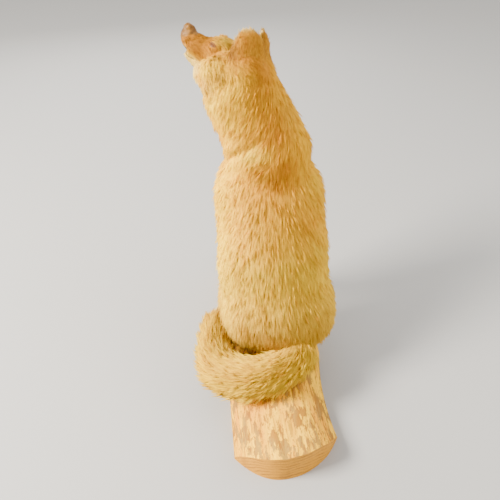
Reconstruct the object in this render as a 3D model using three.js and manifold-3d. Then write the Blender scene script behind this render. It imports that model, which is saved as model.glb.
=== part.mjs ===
// A seated red fox on a split log, life size, in millimetres.
// +Z is up, the fox faces -Y and its own left is +X. The origin is on the log's flat underside, below the fox.
// Each part of the fox is meshed from one rounded form, then parted from its neighbours by thin cuts.
import * as THREE from "three";
import { mergeVertices } from "three/addons/utils/BufferGeometryUtils.js";
import Module from "manifold-3d";

const wasm = await Module();
wasm.setup();

// ---- driving dimensions ----
const GAP = 0.3; // between parts that meet
const LOG = {
  rear: 326, // middle of the end behind the fox
  front: -226, // middle of the end in front
  left: 86, // half width on the fox's left
  right: 88, // half width on the fox's right, at its narrowest
  waist: 12, // how much wider the right side is away from there
  thickness: 62,
  rim: 3, // thickness left at the long edges
  bow: 55, // how far the rear end bows out in plan
  skew: 11, // the rear end runs back on the left and forward on the right
};
const CELL = { body: 23.5, neck: 23, thigh: 21.5, leg: 15, foot: 12, tail: 18, head: 12.5, muzzle: 9.5 }; // mesh sizes
// Yaw turns the face to the fox's left, pitch lifts the nose and roll lifts the left ear.
const HEAD = { at: [43, -95, 541], yaw: 68, pitch: 28, roll: 12 };
const EYE = { at: [40, 20, 1], radius: 8 };
const EAR = { at: [-15, 29, 8], length: 62, radius: 32, thick: 5, wrap: 105 };
const EAR_POSE = { left: { lean: 22, splay: 4, twist: -42 }, right: { lean: 8, splay: 40, twist: 0 } };
const MOUTH = { height: -34, depth: 34 }; // height of the lip line and how far back it reaches, on the head
// Points along the tail, and how thick it is at each.
const TAIL = [
  { at: [-36, 104, 108], radius: 29 },
  { at: [-36, 145, 94], radius: 33 },
  { at: [2, 176, 90], radius: 36 },
  { at: [52, 186, 88], radius: 39 },
  { at: [98, 163, 84], radius: 38 },
  { at: [107, 104, 80], radius: 35 },
  { at: [104, 56, 82], radius: 29 },
  { at: [92, 16, 86], radius: 13 },
];

const rad = THREE.MathUtils.degToRad;
const vec = (p) => new THREE.Vector3(...p);
const turned = (x, y = 0, z = 0, order = "XYZ") =>
  new THREE.Quaternion().setFromEuler(new THREE.Euler(rad(x), rad(y), rad(z), order));

// The head's own axes are x forward, y to its left, z up.
const headTurn = turned(HEAD.roll, -HEAD.pitch, HEAD.yaw - 90, "ZYX");
const headFrame = new THREE.Matrix4().compose(vec(HEAD.at), headTurn, vec([1, 1, 1]));
const onHead = (p) => vec(p).applyMatrix4(headFrame).toArray();

// ---- rounded forms, given as distances from their surface ----
// A limb is a rod between two points with a radius at each end.
function limb(a, b, ra, rb) {
  const from = vec(a);
  const along = vec(b).sub(from);
  const l2 = along.lengthSq();
  const rr = ra - rb;
  const a2 = l2 - rr * rr;
  const v = new THREE.Vector3();
  return (p) => {
    v.copy(p).sub(from);
    const y = v.dot(along);
    const z = y - l2;
    const x2 = v.lengthSq() * l2 * l2 - y * y * l2;
    const y2 = y * y * l2;
    const z2 = z * z * l2;
    const k = Math.sign(rr) * rr * rr * x2;
    if (Math.sign(z) * a2 * z2 > k) return Math.sqrt(x2 + z2) / l2 - rb;
    if (Math.sign(y) * a2 * y2 < k) return Math.sqrt(x2 + y2) / l2 - ra;
    return (Math.sqrt((x2 * a2) / l2) + y * rr) / l2 - ra;
  };
}

// An egg is an ellipsoid, turned by a quaternion where one is given.
function egg(centre, radii, turn) {
  const c = vec(centre);
  const back = turn ? turn.clone().invert() : null;
  const v = new THREE.Vector3();
  return (p) => {
    v.copy(p).sub(c);
    if (back) v.applyQuaternion(back);
    const k0 = Math.hypot(v.x / radii[0], v.y / radii[1], v.z / radii[2]);
    const k1 = Math.hypot(v.x / radii[0] ** 2, v.y / radii[1] ** 2, v.z / radii[2] ** 2);
    return k1 > 1e-9 ? (k0 * (k0 - 1)) / k1 : -Math.min(...radii);
  };
}

// Forms that run into each other over about k mm.
function soft(k, ...forms) {
  return (p) => {
    let d = forms[0](p);
    for (let i = 1; i < forms.length; i++) {
      const e = forms[i](p);
      const h = Math.max(k - Math.abs(d - e), 0) / k;
      d = Math.min(d, e) - (h * h * h * k) / 6;
    }
    return d;
  };
}

const chain = (points, radii, k) =>
  soft(k, ...points.slice(1).map((p, i) => limb(points[i], p, radii[i], radii[i + 1])));

// ---- trunk and neck ----
const HIP_X = -12;
const trunk = soft(
  46,
  egg([HIP_X - 3, 89, 130], [92, 62, 73]),
  egg([-4, 42, 222], [100, 66, 108], turned(31)),
  egg([-7, 8, 266], [90, 62, 78], turned(28)),
  egg([-5, -22, 296], [90, 76, 104], turned(26)),
  egg([-2, -92, 318], [54, 46, 78], turned(10)),
  egg([48, -45, 325], [42, 56, 66], turned(20)),
  egg([-56, -46, 318], [42, 56, 66], turned(20)),
);
const neck = chain(
  [[0, -50, 352], [-3, -56, 396], [12, -68, 435], [31, -77, 470], [41, -82, 494], [45, -85, 508]],
  [69, 71, 66, 62, 60, 52],
  24,
);

// ---- legs, one function for both sides ----
const toes = (x, y, z, size) =>
  [-1.5, -0.5, 0.5, 1.5].map((i) => {
    const back = Math.abs(i) > 1 ? 8 : 0;
    return egg([x + i * 9.5, y + back, z], [size * 0.62, size, size * 0.7]);
  });
const foreleg = (side) =>
  soft(
    12,
    chain(
      [
        [side * 50 - 2, -72, 296],
        [side * 50 - 2, -64, 226],
        [side * 38 - 2, -98, 128],
        [side * 36 - 2, -106, 90],
      ],
      [44, 32, 20, 19],
      16,
    ),
    egg([side * 36 - 2, -114, 77], [20, 26, 17], turned(-6)),
    ...toes(side * 36 - 2, -136, 71, 14),
  );
const hindleg = (side) =>
  soft(
    26,
    egg([side * 63 + HIP_X, 47, 134], [46, 80, 70], turned(-12)),
    egg([side * 68 + HIP_X, -4, 134], [32, 44, 50]),
    chain(
      [
        [side * 66 + HIP_X * 0.8, -8, 114],
        [side * 60 + HIP_X * 0.6, 40, 86],
        [side * 54 + HIP_X * 0.4, 52, 74],
      ],
      [32, 24, 20],
      16,
    ),
  );
const hindfoot = (side) =>
  soft(
    12,
    limb([side * 54 + HIP_X * 0.4, 50, 72], [side * 52, -44, 62], 19, 16),
    egg([side * 52, -54, 60], [18, 26, 15]),
    ...toes(side * 52, -74, 55, 13),
  );

// ---- tail, thick in the middle of its curl ----
const tailCurve = new THREE.CatmullRomCurve3(TAIL.map((t) => vec(t.at)), false, "centripetal");
const tailPoints = tailCurve.getPoints(3 * (TAIL.length - 1)).map((p) => p.toArray());
const tailRadii = tailPoints.map((_, i) => {
  const j = Math.min(Math.floor(i / 3), TAIL.length - 2);
  return THREE.MathUtils.lerp(TAIL[j].radius, TAIL[j + 1].radius, i / 3 - j);
});
const tail = chain(tailPoints, tailRadii, 6);

// ---- head, given in its own frame ----
const headEgg = (c, r, turn) => egg(onHead(c), r, turn ? headTurn.clone().multiply(turn) : headTurn);
const headLimb = (a, b, ra, rb) => limb(onHead(a), onHead(b), ra, rb);
const skull = soft(
  20,
  headEgg([-16, 0, -7], [46, 41, 37]),
  headEgg([22, 0, -7], [37, 31, 26]),
  headEgg([-18, 37, 5], [33, 24, 25]),
  headEgg([-18, -37, 5], [33, 24, 25]),
  headEgg([1, 32, -26], [43, 25, 32], turned(0, 0, 8)),
  headEgg([1, -32, -26], [43, 25, 32], turned(0, 0, -8)),
  headEgg([-18, 0, -36], [48, 50, 40]),
  headEgg([23, 0, -46], [37, 35, 25]),
);
const muzzle = soft(
  12,
  headLimb([38, 0, -16], [84, 0, -15], 22, 15),
  headEgg([60, 0, -23], [30, 19, 15]),
  headEgg([91, 0, -8.5], [12, 12, 15.5]),
);
const jaw = soft(10, headLimb([20, 0, -44], [70, 0, -40], 18, 7.5), headEgg([76, 0, -38], [8, 9, 5]));
const head = soft(6, soft(16, skull, muzzle), jaw);

const fox = soft(
  24,
  soft(16, soft(30, trunk, hindleg(1), hindleg(-1)), foreleg(1), foreleg(-1), hindfoot(1), hindfoot(-1)),
  neck,
  head,
);

// ---- meshing a form: one vertex in each cell that its surface crosses ----
function meshForm(form, low, high, cell) {
  const walls = (p) => Math.max(low[0] - p.x, p.x - high[0], low[1] - p.y, p.y - high[1], low[2] - p.z, p.z - high[2]);
  const field = (p) => Math.max(form(p), walls(p) + cell);
  const n = [0, 1, 2].map((i) => Math.ceil((high[i] - low[i]) / cell) + 1);
  const at = (i, j, k) => (k * n[1] + j) * n[0] + i;
  const value = new Float64Array(n[0] * n[1] * n[2]);
  const p = new THREE.Vector3();
  for (let k = 0; k < n[2]; k++)
    for (let j = 0; j < n[1]; j++)
      for (let i = 0; i < n[0]; i++) {
        p.set(low[0] + i * cell, low[1] + j * cell, low[2] + k * cell);
        value[at(i, j, k)] = field(p);
      }
  const vertexOf = new Map();
  const points = [];
  for (let k = 0; k < n[2] - 1; k++)
    for (let j = 0; j < n[1] - 1; j++)
      for (let i = 0; i < n[0] - 1; i++) {
        const middle = crossing((c) => value[at(i + (c & 1), j + ((c >> 1) & 1), k + (c >> 2))]);
        if (!middle) continue;
        middle.add(p.set(i, j, k)).multiplyScalar(cell).add(vec(low));
        settle(middle, field, cell);
        vertexOf.set(at(i, j, k), points.length / 3);
        points.push(middle.x, middle.y, middle.z);
      }
  const faces = [];
  const strides = [1, n[0], n[0] * n[1]];
  for (let k = 1; k < n[2] - 1; k++)
    for (let j = 1; j < n[1] - 1; j++)
      for (let i = 1; i < n[0] - 1; i++)
        for (let axis = 0; axis < 3; axis++) {
          const here = at(i, j, k);
          const inside = value[here] < 0;
          if (inside === value[here + strides[axis]] < 0) continue;
          const [u, v] = [strides[(axis + 1) % 3], strides[(axis + 2) % 3]];
          const ring = [here - u - v, here - v, here, here - u].map((c) => vertexOf.get(c));
          if (!inside) ring.reverse();
          faces.push(ring[0], ring[1], ring[2], ring[0], ring[2], ring[3]);
        }
  return indexed(points, faces);
}

// The mean of the points where the surface crosses a cell's twelve edges, or null.
function crossing(valueAt) {
  const sum = new THREE.Vector3();
  const corner = new THREE.Vector3();
  let count = 0;
  for (let a = 0; a < 8; a++)
    for (const bit of [1, 2, 4]) {
      const b = a | bit;
      if (b === a) continue;
      const [va, vb] = [valueAt(a), valueAt(b)];
      if (va < 0 === vb < 0) continue;
      const t = va / (va - vb);
      sum.addScaledVector(corner.set(a & 1, (a >> 1) & 1, a >> 2), 1 - t);
      sum.addScaledVector(corner.set(b & 1, (b >> 1) & 1, b >> 2), t);
      count++;
    }
  return count ? sum.divideScalar(count) : null;
}

// Moves a point onto the surface along the field's slope.
function settle(point, field, cell) {
  const e = 0.5;
  const slope = new THREE.Vector3();
  const probe = new THREE.Vector3();
  for (let pass = 0; pass < 3; pass++) {
    const d = field(point);
    slope.x = field(probe.copy(point).setX(point.x + e)) - d;
    slope.y = field(probe.copy(point).setY(point.y + e)) - d;
    slope.z = field(probe.copy(point).setZ(point.z + e)) - d;
    const step = THREE.MathUtils.clamp((d * e) / slope.lengthSq(), -cell, cell);
    point.addScaledVector(slope, -step * 0.7);
  }
}

function indexed(points, faces) {
  const geometry = new THREE.BufferGeometry();
  geometry.setAttribute("position", new THREE.Float32BufferAttribute(points, 3));
  geometry.setIndex(faces);
  return geometry;
}

// ---- solids and the regions that part them ----
function solidOf(geometry) {
  const bare = geometry.clone();
  bare.deleteAttribute("normal");
  bare.deleteAttribute("uv");
  const merged = mergeVertices(bare, 1e-3);
  const vertProperties = new Float32Array(merged.attributes.position.array);
  const triVerts = new Uint32Array(merged.index.array);
  return new wasm.Manifold(new wasm.Mesh({ numProp: 3, vertProperties, triVerts }));
}
const biggest = (solid) => solid.decompose().sort((a, b) => b.volume() - a.volume())[0];

// A region is a function of how far it is grown, so that the next part starts a gap away from it.
const boxRegion = (centre, size, turn = turned(0)) => (grow) => {
  const geometry = new THREE.BoxGeometry(...size.map((s) => s + 2 * grow));
  return solidOf(geometry.applyQuaternion(turn).translate(...centre));
};
const eggRegion = (centre, radii, turn = turned(0)) => (grow) => {
  const geometry = new THREE.SphereGeometry(1, 16, 10).scale(...radii.map((r) => r + grow));
  return solidOf(geometry.applyQuaternion(turn).translate(...centre));
};
// A half space is a big box with one face through a point, on the side that the direction gives.
function halfSpace(point, direction) {
  const n = vec(direction).normalize();
  const turn = new THREE.Quaternion().setFromUnitVectors(vec([0, 0, 1]), n);
  return boxRegion(vec(point).addScaledVector(n, 300).toArray(), [900, 900, 600], turn);
}
const common = (...regions) => (grow) => regions.map((r) => r(grow)).reduce((a, b) => a.intersect(b));

// ---- the log: flat underside, rounded top, both ends bowed in plan ----
const logEdge = (y, side) =>
  side > 0 ? LOG.left : LOG.right + LOG.waist * Math.min(1, ((y - 180) / 112) ** 2);
function logTop(x, y) {
  const across = Math.min(1, Math.abs(x) / logEdge(y, x));
  return LOG.rim + (LOG.thickness - LOG.rim) * (1 - across ** 2.3) ** 0.75;
}
function logGeometry() {
  const across = 12;
  const along = 7;
  const points = [];
  for (let j = 0; j <= along; j++)
    for (let i = 0; i < 2 * (across + 1); i++) {
      const onTop = i > across;
      const u = onTop ? 1 - (2 * (i - across - 1)) / across : -1 + (2 * i) / across;
      const rear = LOG.rear - LOG.bow * Math.abs(u) ** 2.1 + LOG.skew * u;
      const front = LOG.front + LOG.bow * 0.6 * Math.abs(u) ** 2.4;
      const y = THREE.MathUtils.lerp(front, rear, j / along);
      const x = u * logEdge(y, u);
      points.push(x, y, onTop ? logTop(x, y) : 0);
    }
  const ring = 2 * (across + 1);
  const faces = [];
  const quad = (a, b, c, d) => faces.push(a, b, c, a, c, d);
  for (let j = 0; j < along; j++)
    for (let i = 0; i < ring; i++) {
      const [a, b] = [j * ring + i, j * ring + ((i + 1) % ring)];
      quad(a, a + ring, b + ring, b);
    }
  const last = along * ring;
  for (let i = 0; i < across; i++) {
    const [over, next] = [ring - 1 - i, ring - 2 - i];
    quad(i, i + 1, next, over);
    quad(last + i, last + over, last + next, last + i + 1);
  }
  return indexed(points, faces);
}

// ---- ears: a rolled leaf, nearly a tube at its root and open at the tip ----
function earGeometry(side, { lean, splay, twist }) {
  const rows = 6;
  const columns = 7;
  const points = [];
  for (const inner of [0, 1])
    for (let j = 0; j <= rows; j++)
      for (let i = 0; i <= columns; i++) {
        const t = (0.97 * j) / rows;
        const r = EAR.radius * Math.sqrt(1 - t ** 5);
        const bend = rad(EAR.wrap) * (1 - 0.45 * t) * (-1 + (2 * i) / columns);
        const wall = r - inner * EAR.thick * (1 - 0.6 * t);
        const back = 10 * t - wall * Math.cos(bend) * (1 - 0.3 * t);
        points.push(back, wall * Math.sin(bend), EAR.length * t - 14);
      }
  const width = columns + 1;
  const inner = (rows + 1) * width;
  const faces = [];
  const quad = (a, b, c, d) => faces.push(a, b, c, a, c, d);
  for (let j = 0; j < rows; j++)
    for (let i = 0; i < columns; i++) {
      const a = j * width + i;
      quad(a, a + width, a + width + 1, a + 1);
      quad(inner + a, inner + a + 1, inner + a + width + 1, inner + a + width);
    }
  for (let i = 0; i < columns; i++) {
    const a = rows * width + i;
    quad(i, i + 1, inner + i + 1, inner + i);
    quad(a, inner + a, inner + a + 1, a + 1);
  }
  for (let j = 0; j < rows; j++) {
    const [a, b] = [j * width, j * width + columns];
    quad(a, inner + a, inner + a + width, a + width);
    quad(b, b + width, inner + b + width, inner + b);
  }
  const geometry = indexed(points, faces).applyQuaternion(turned(-side * splay, lean, side * twist, "YXZ"));
  return geometry.translate(EAR.at[0], side * EAR.at[1], EAR.at[2]).applyMatrix4(headFrame);
}

// ---- put together ----
const materials = {
  coat: new THREE.MeshStandardMaterial({ color: 0xcf9d58, roughness: 0.9 }),
  ear: new THREE.MeshStandardMaterial({ color: 0xb9813c, roughness: 0.9 }),
  eye: new THREE.MeshStandardMaterial({ color: 0x6b3c10, roughness: 0.1 }),
  wood: new THREE.MeshStandardMaterial({ color: 0xd9ad6c, roughness: 0.7 }),
};
const model = new THREE.Group();
// Cuts can leave corners a hair apart, so corners are put on a fine grid and faces that close up are dropped.
function tidied(solid) {
  const got = solid.getMesh();
  const grid = 0.002;
  const known = new Map();
  const points = [];
  const corners = Array.from({ length: got.numVert }, (_, i) => {
    const at = [0, 1, 2].map((a) => Math.round(got.vertProperties[i * got.numProp + a] / grid));
    const key = at.join();
    if (!known.has(key)) {
      known.set(key, points.length / 3);
      points.push(...at.map((a) => a * grid));
    }
    return known.get(key);
  });
  const faces = new Map();
  for (let i = 0; i < got.triVerts.length; i += 3) {
    const face = [0, 1, 2].map((a) => corners[got.triVerts[i + a]]);
    if (new Set(face).size < 3) continue;
    const key = [...face].sort((a, b) => a - b).join();
    if (!faces.delete(key)) faces.set(key, face);
  }
  return indexed(points, [...faces.values()].flat());
}
function place(name, solid, material) {
  const geometry = tidied(solid);
  geometry.computeVertexNormals();
  const mesh = new THREE.Mesh(geometry, material);
  mesh.name = name;
  model.add(mesh);
}

const logSolid = solidOf(logGeometry());
const logRoom = solidOf(logGeometry().translate(0, 0, GAP));
place("log_base", logSolid, materials.wood);

// Each part of the body: its region, and the box and mesh size it is made with.
const sides = { left: 1, right: -1 };
const headRegion = halfSpace([38, -86, 488], [0.16, -0.2, 1]);
const muzzleRegion = boxRegion(onHead([MOUTH.depth + 56, 0, 20]), [90, 90, 108], headTurn);
const jawRegion = boxRegion(onHead([MOUTH.depth + 40, 0, MOUTH.height - 25]), [80, 60, 50], headTurn);
const bodyParts = [
  { name: "jaw", region: jawRegion, box: [[40, -190, 470], [180, -40, 600]], cell: CELL.muzzle },
  { name: "muzzle", region: muzzleRegion, box: [[60, -190, 480], [180, -40, 620]], cell: CELL.muzzle },
  { name: "head", region: headRegion, box: [[-70, -210, 450], [190, 30, 620]], cell: CELL.head },
  {
    name: "neck",
    region: halfSpace([0, -52, 376], [0.2, -0.35, 1]),
    box: [[-120, -190, 300], [150, 60, 540]],
    cell: CELL.neck,
  },
];
for (const [word, side] of Object.entries(sides)) {
  const box = (y0, z0, y1, z1) => [[side > 0 ? -8 : -150, y0, z0], [side > 0 ? 150 : 8, y1, z1]];
  const half = halfSpace([-3, 0, 0], [side, 0, 0]);
  const within = (centre, size, turn) => common(half, boxRegion(centre, size, turn));
  bodyParts.push(
    {
      name: `forepaw_${word}`,
      region: within([0, -136, 47], [300, 100, 100]),
      box: box(-190, 30, -60, 130),
      cell: CELL.foot,
    },
    {
      name: `foreleg_${word}`,
      region: within([0, -110, 130], [300, 110, 200], turned(-17)),
      box: box(-190, 60, -10, 270),
      cell: CELL.leg,
    },
    {
      name: `hindfoot_${word}`,
      region: within([0, -16, 20], [300, 180, 116]),
      box: box(-130, 10, 110, 110),
      cell: CELL.foot,
    },
    {
      name: `hindleg_${word}`,
      region: eggRegion([side * 92 + HIP_X, 28, 134], [74, 122, 96], turned(-14)),
      box: box(-120, 20, 190, 260),
      cell: CELL.thigh,
    },
  );
}
bodyParts.push({ name: "trunk", box: [[-160, -200, 20], [150, 200, 440]], cell: CELL.body });

const eyeSolid = (side, grow) => {
  const ball = new THREE.SphereGeometry(EYE.radius + grow, 10, 7);
  return solidOf(ball.translate(...onHead([EYE.at[0], side * EYE.at[1], EYE.at[2]])));
};
const cuts = [logRoom, eyeSolid(1, GAP), eyeSolid(-1, GAP)];
for (const { name, region, box, cell } of bodyParts) {
  let solid = solidOf(meshForm(fox, ...box, cell));
  if (region) solid = solid.intersect(region(0));
  for (const cut of cuts) solid = solid.subtract(cut);
  place(name, biggest(solid), materials.coat);
  if (region) cuts.push(region(GAP));
}

// The tail is parted into lengths by planes that stand on end round the middle of its curl.
const CURL = [34, 104];
const tailCuts = [210, 118, 50, -10, -90];
function sector(from, to) {
  const out = (deg) => [CURL[0] + 320 * Math.cos(rad(deg)), CURL[1] + 320 * Math.sin(rad(deg))];
  const corners = [CURL, out(to), out((from + to) / 2), out(from)];
  const points = [0, 250].flatMap((z) => corners.map(([x, y]) => [x, y, z])).flat();
  const faces = [0, 2, 1, 0, 3, 2, 4, 5, 6, 4, 6, 7];
  for (let i = 0; i < 4; i++) {
    const j = (i + 1) % 4;
    faces.push(i, j, j + 4, i, j + 4, i + 4);
  }
  return solidOf(indexed(points, faces));
}
const grown = (p) => fox(p) - 3;
const bodyRoom = solidOf(meshForm(grown, [-160, -200, 20], [150, 220, 260], CELL.body));
const tailSolid = solidOf(meshForm(tail, [-100, -40, 20], [180, 260, 170], CELL.tail));
["root", "middle", "bend", "end"].forEach((word, i) => {
  const length = tailSolid.intersect(sector(tailCuts[i] - 0.3, tailCuts[i + 1])).subtract(logRoom);
  place(`tail_${word}`, biggest(length.subtract(bodyRoom)), materials.coat);
});

const headRoom = solidOf(meshForm((p) => fox(p) - GAP, [-70, -210, 450], [190, 30, 620], CELL.head));
for (const [word, side] of Object.entries(sides)) {
  const ear = solidOf(earGeometry(side, EAR_POSE[word]));
  place(`ear_${word}`, biggest(ear.subtract(headRoom)), materials.ear);
  place(`eye_${word}`, eyeSolid(side, 0), materials.eye);
}

export default model;
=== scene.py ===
# A seated fox on a split log. Lengths in the dictionaries are in millimetres unless a note says otherwise.
import math

import bmesh
import bpy
import numpy as np
from mathutils import Matrix, Vector, noise


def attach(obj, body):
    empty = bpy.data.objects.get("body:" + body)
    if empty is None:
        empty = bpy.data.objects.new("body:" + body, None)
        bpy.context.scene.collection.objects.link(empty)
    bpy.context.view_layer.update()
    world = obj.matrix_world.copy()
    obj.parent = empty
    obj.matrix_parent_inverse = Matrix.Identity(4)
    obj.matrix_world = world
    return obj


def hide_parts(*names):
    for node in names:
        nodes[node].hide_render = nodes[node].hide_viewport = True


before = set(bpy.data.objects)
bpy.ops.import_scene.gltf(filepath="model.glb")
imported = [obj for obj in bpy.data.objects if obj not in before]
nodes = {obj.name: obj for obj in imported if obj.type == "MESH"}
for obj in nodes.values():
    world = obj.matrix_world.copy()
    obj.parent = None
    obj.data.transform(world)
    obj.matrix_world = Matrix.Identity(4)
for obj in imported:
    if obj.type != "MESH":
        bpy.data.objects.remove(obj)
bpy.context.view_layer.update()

mm = 0.001

cameraView = {"place": (0.1062, 0.7823, 0.8364), "heading": 174.7, "down": 38.0, "lens": 38.88}  # metres and degrees
camera = bpy.data.objects.new("camera", bpy.data.cameras.new("camera"))
bpy.context.scene.collection.objects.link(camera)
camera.data.lens = cameraView["lens"]
camera.data.sensor_width = 36
camera.data.clip_start = 0.01
camera.location = cameraView["place"]
camera.rotation_euler = (math.radians(90 - cameraView["down"]), 0, math.radians(cameraView["heading"]))
bpy.context.scene.camera = camera


# colour, meshes and shader nodes
def shade(red, green, blue):  # screen colour 0 to 255 as linear light
    return tuple(((c / 255 + 0.055) / 1.055) ** 2.4 if c > 10 else c / 255 / 12.92 for c in (red, green, blue))


def blendTo(a, b, x):  # 0 below a, 1 above b, smooth between
    t = np.clip((x - a) / (b - a), 0, 1)
    return t * t * (3 - 2 * t)


def meshOf(name, points, faces, smooth=True):
    mesh = bpy.data.meshes.new(name)
    mesh.from_pydata([tuple(p) for p in points], [], [tuple(f) for f in faces])
    mesh.update()
    if smooth:
        mesh.shade_smooth()
    made = bpy.data.objects.new(name, mesh)
    bpy.context.scene.collection.objects.link(made)
    return made


def addValues(mesh, name, kind, values, domain="POINT"):
    layer = mesh.attributes.new(name, kind, domain)
    field = {"FLOAT_VECTOR": "vector", "FLOAT_COLOR": "color"}.get(kind, "value")
    layer.data.foreach_set(field, np.ascontiguousarray(values).ravel())


def readValues(items, field, width=1, kind=np.float32):
    values = np.zeros(len(items) * width, kind)
    items.foreach_get(field, values)
    return values.reshape(-1, width) if width > 1 else values


def reshape(mesh, change):  # runs one change on a mesh through bmesh
    bm = bmesh.new()
    bm.from_mesh(mesh)
    change(bm)
    bm.to_mesh(mesh)
    bm.free()


def feed(tree, socket, value):  # links another socket, or sets a number, a colour or a vector
    if isinstance(value, bpy.types.NodeSocket):
        tree.links.new(value, socket)
    else:
        socket.default_value = (*value, 1) if socket.type == "RGBA" else value


def put(tree, kind, inputs=(), **settings):  # a new node, its inputs given by name or number; returns its outputs
    made = tree.nodes.new(kind)
    for name, value in settings.items():
        setattr(made, name, value)
    for name, value in dict(inputs).items():
        feed(tree, made.inputs[name], value)
    return made.outputs


def newMaterial(name, **values):  # returns the material, its tree and its shader
    made = bpy.data.materials.new(name)
    made.use_nodes = True
    shader = made.node_tree.nodes["Principled BSDF"]
    for key, value in values.items():
        shader.inputs[key.replace("_", " ")].default_value = value
    return made, made.node_tree, shader


def attribute(tree, name):
    return put(tree, "ShaderNodeAttribute", attribute_name=name)


def partsOfVector(tree, vector):
    return put(tree, "ShaderNodeSeparateXYZ", {0: vector})


def ramp(tree, source, *stops):  # stops are (place, colour)
    made = tree.nodes.new("ShaderNodeValToRGB")
    elements = made.color_ramp.elements
    while len(elements) < len(stops):
        elements.new(0.5)
    for element, (place, colour) in zip(elements, stops):
        element.position = place
        element.color = (*colour, 1)
    tree.links.new(source, made.inputs["Fac"])
    return made.outputs["Color"]


def calculate(tree, how, *values):
    return put(tree, "ShaderNodeMath", dict(enumerate(values)), operation=how)[0]


def mixColours(tree, amount, first, second, how="MIX"):
    return put(tree, "ShaderNodeMix", {0: amount, 6: first, 7: second}, data_type="RGBA", blend_type=how)[2]


def fadeIn(tree, source, low, high):  # black below low and white above high
    return ramp(tree, source, (low, (0, 0, 0)), (high, (1, 1, 1)))


def stained(tree, base, mask, strength, colour):
    return mixColours(tree, calculate(tree, "MULTIPLY", mask, strength), base, colour)


def noiseAt(tree, scale, detail=3.0, stretch=(1, 1, 1), roughness=0.55, distort=0.0):
    place = put(tree, "ShaderNodeTexCoord")["Object"]
    place = put(tree, "ShaderNodeMapping", {"Vector": place, "Scale": stretch})[0]
    return put(tree, "ShaderNodeTexNoise", {"Vector": place, "Scale": scale, "Detail": detail, "Roughness": roughness,
                                            "Distortion": distort})["Fac"]


def addBump(tree, shader, height, strength, distance):
    made = put(tree, "ShaderNodeBump", {"Height": height, "Strength": strength, "Distance": distance})
    tree.links.new(made[0], shader.inputs["Normal"])


# rounded forms as distances from their surface, for arrays of points
def spin(axis, degrees):
    return np.array(Matrix.Rotation(math.radians(degrees), 3, axis), np.float32)


def limb(p, a, b, ra, rb):  # a rod between two points with a radius at each end
    a, b = np.float32(a), np.float32(b)
    along = b - a
    l2 = float(along @ along)
    rr = ra - rb
    a2 = l2 - rr * rr
    v = p - a
    y = v @ along
    z = y - l2
    x2 = ((v * l2 - y[:, None] * along) ** 2).sum(1)
    y2, z2 = y * y * l2, z * z * l2
    k = math.copysign(rr * rr, rr) * x2
    d = (np.sqrt(x2 * (a2 / l2)) + y * rr) / l2 - ra
    d = np.where(np.sign(z) * a2 * z2 > k, np.sqrt(x2 + z2) / l2 - rb, d)
    return np.where(np.sign(y) * a2 * y2 < k, np.sqrt(x2 + y2) / l2 - ra, d)


def farFrom(p, a, b):  # distance from a line between two points
    return limb(p, a, b, 0.01, 0.01)


def egg(p, centre, radii, turn=None):
    v = p - np.float32(centre)
    if turn is not None:
        v = v @ turn
    r = np.float32(radii)
    k0 = np.sqrt(((v / r) ** 2).sum(1))
    k1 = np.sqrt(((v / (r * r)) ** 2).sum(1))
    return k0 * (k0 - 1) / np.maximum(k1, 1e-9)


def soft(k, *distances):  # forms that run into each other over about k
    d = distances[0]
    for e in distances[1:]:
        h = np.maximum(k - np.abs(d - e), 0) / k
        d = np.minimum(d, e) - h * h * h * (k / 6)
    return d


def cut(k, d, tool):
    return -soft(k, -d, tool)


def chain(p, points, radii, k):
    return soft(k, *[limb(p, points[i], points[i + 1], radii[i], radii[i + 1]) for i in range(len(points) - 1)])


# the fox's form: where the tips of the coat lie
hipX = -12
headPose = {"at": (43, -95, 541), "yaw": 68, "pitch": 28, "roll": 12}
headTurn = spin("Z", headPose["yaw"] - 90) @ spin("Y", -headPose["pitch"]) @ spin("X", headPose["roll"])
eyes = {"at": (40, 20, 1), "radius": 8.0, "look": (0.56, 0.80, 0.2), "slant": (-0.78, 0.58, 0.16),
        "openLength": 6.6, "openHeight": 0.7, "lid": 1.3}
mouth = {"height": -34, "front": 98, "open": 3.1, "lip": 2.4, "lipWide": 1.5}
driedHeight = 0.45  # of the waves on the bare tip of the muzzle
tailRoute = [((-36, 104, 108), 29), ((-36, 145, 94), 33), ((2, 176, 90), 36), ((52, 186, 88), 39),
             ((98, 163, 84), 38), ((107, 104, 80), 35), ((104, 56, 82), 29), ((92, 16, 86), 13)]
neckRoute = [(0, -50, 352), (-3, -56, 396), (12, -68, 435), (31, -77, 470), (41, -82, 494), (45, -85, 508)]
neckFold = np.float32([(80, -52, 384), (49, -6, 425), (12, 4, 446)])  # a crease across the back of the neck
crease = {"deep": 4.2, "across": 8, "swell": 3.0, "swellAcross": 12}
whorl = {"at": (4, 18, 400), "reach": 17, "push": 1.3 / 12}  # where the hair turns outwards between the shoulders


def headPlaces(points):  # in the head's own frame, its front along x
    return (points - np.float32(headPose["at"])) @ headTurn


def fromHead(places):
    return places @ headTurn.T + np.float32(headPose["at"])


def onSide(place, side):  # a place given for the left, or its mirror image
    return np.float32((place[0], side * place[1], place[2]))


def smoothRoute(points, steps):  # a centripetal curve through the points
    p = [np.float64(q) for q in points]
    p = [2 * p[0] - p[1]] + p + [2 * p[-1] - p[-2]]
    out = []
    for i in range(1, len(p) - 2):
        t = np.cumsum([0] + [np.linalg.norm(p[i + j] - p[i + j - 1]) ** 0.5 for j in range(3)])
        for s in np.linspace(t[1], t[2], steps, endpoint=False):
            a = [((t[j + 1] - s) * p[i - 1 + j] + (s - t[j]) * p[i + j]) / (t[j + 1] - t[j]) for j in range(3)]
            b = [((t[j + 2] - s) * a[j] + (s - t[j]) * a[j + 1]) / (t[j + 2] - t[j]) for j in range(2)]
            out.append(((t[2] - s) * b[0] + (s - t[1]) * b[1]) / (t[2] - t[1]))
    return out + [p[-2]]


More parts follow.
